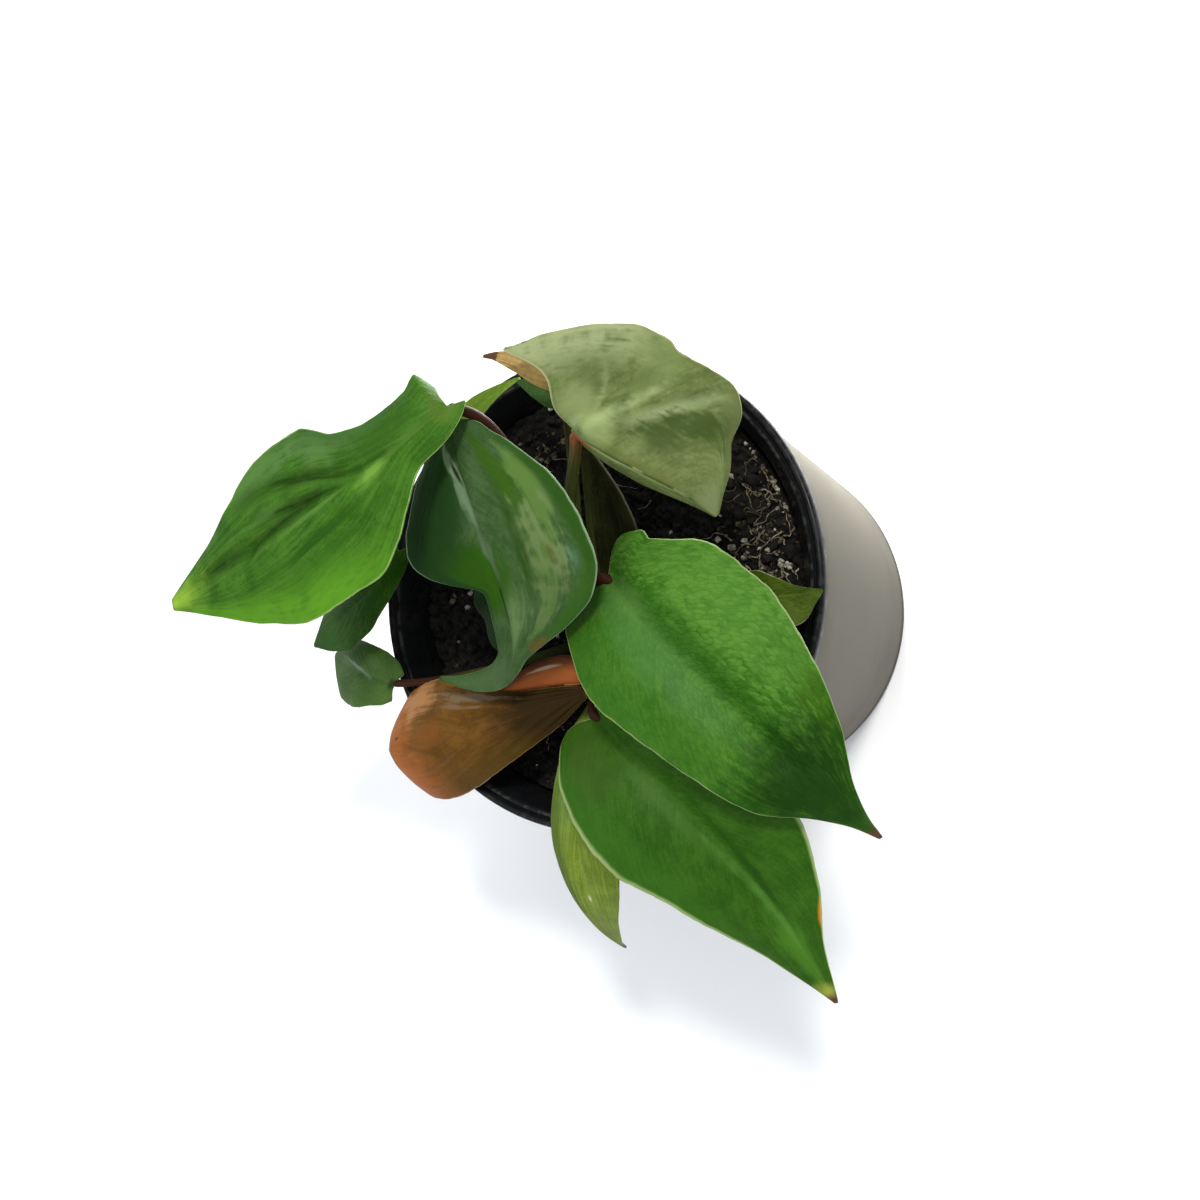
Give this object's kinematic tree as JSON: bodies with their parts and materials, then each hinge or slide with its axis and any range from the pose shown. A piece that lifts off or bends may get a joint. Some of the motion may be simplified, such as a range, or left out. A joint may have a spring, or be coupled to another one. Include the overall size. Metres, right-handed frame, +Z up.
{
  "type": "potted houseplant",
  "caption": "Young heart-leaved aroid houseplant with broad veined leaves on short stalks, growing in soil in a black nursery pot set in a plain tapered cover pot.",
  "frame": {"origin": "centre of the cover pot's flat base, where it rests", "axes": "+Z up through the pot's axis; +X to the right and +Y to the back as seen from the front and above"},
  "size_m": [0.1642, 0.1513, 0.1527],
  "materials": {
    "cover_pot": "matt pale grey",
    "nursery_pot": "satin black",
    "soil": "rough dark peat",
    "stem": "satin olive with reddish necks",
    "leaf_green": "satin green with pale veins",
    "leaf_glossy": "glossy blue-green",
    "leaf_silver": "dull silver-green",
    "leaf_olive": "satin olive yellow",
    "leaf_young": "satin orange-brown",
    "sheath": "dry olive-brown"
  },
  "bodies": {
    "root": {"cover_pot": "cover_pot", "nursery_pot": "nursery_pot", "soil": "soil", "stem": "stem", "leaf_front_upper": "leaf_green", "leaf_front_lower": "leaf_green", "leaf_left": "leaf_green", "leaf_centre": "leaf_glossy", "leaf_back": "leaf_silver", "leaf_under_front": "leaf_olive", "leaf_young_rolled": "leaf_young", "leaf_small_hanging": "leaf_green", "leaf_left_lower": "leaf_green", "leaf_small_back_left": "leaf_olive", "leaf_small_back": "leaf_green", "leaf_small_right": "leaf_olive", "leaf_inner": "leaf_glossy", "leaf_young_back": "leaf_young", "sheath": "sheath"}
  },
  "joints": []
}
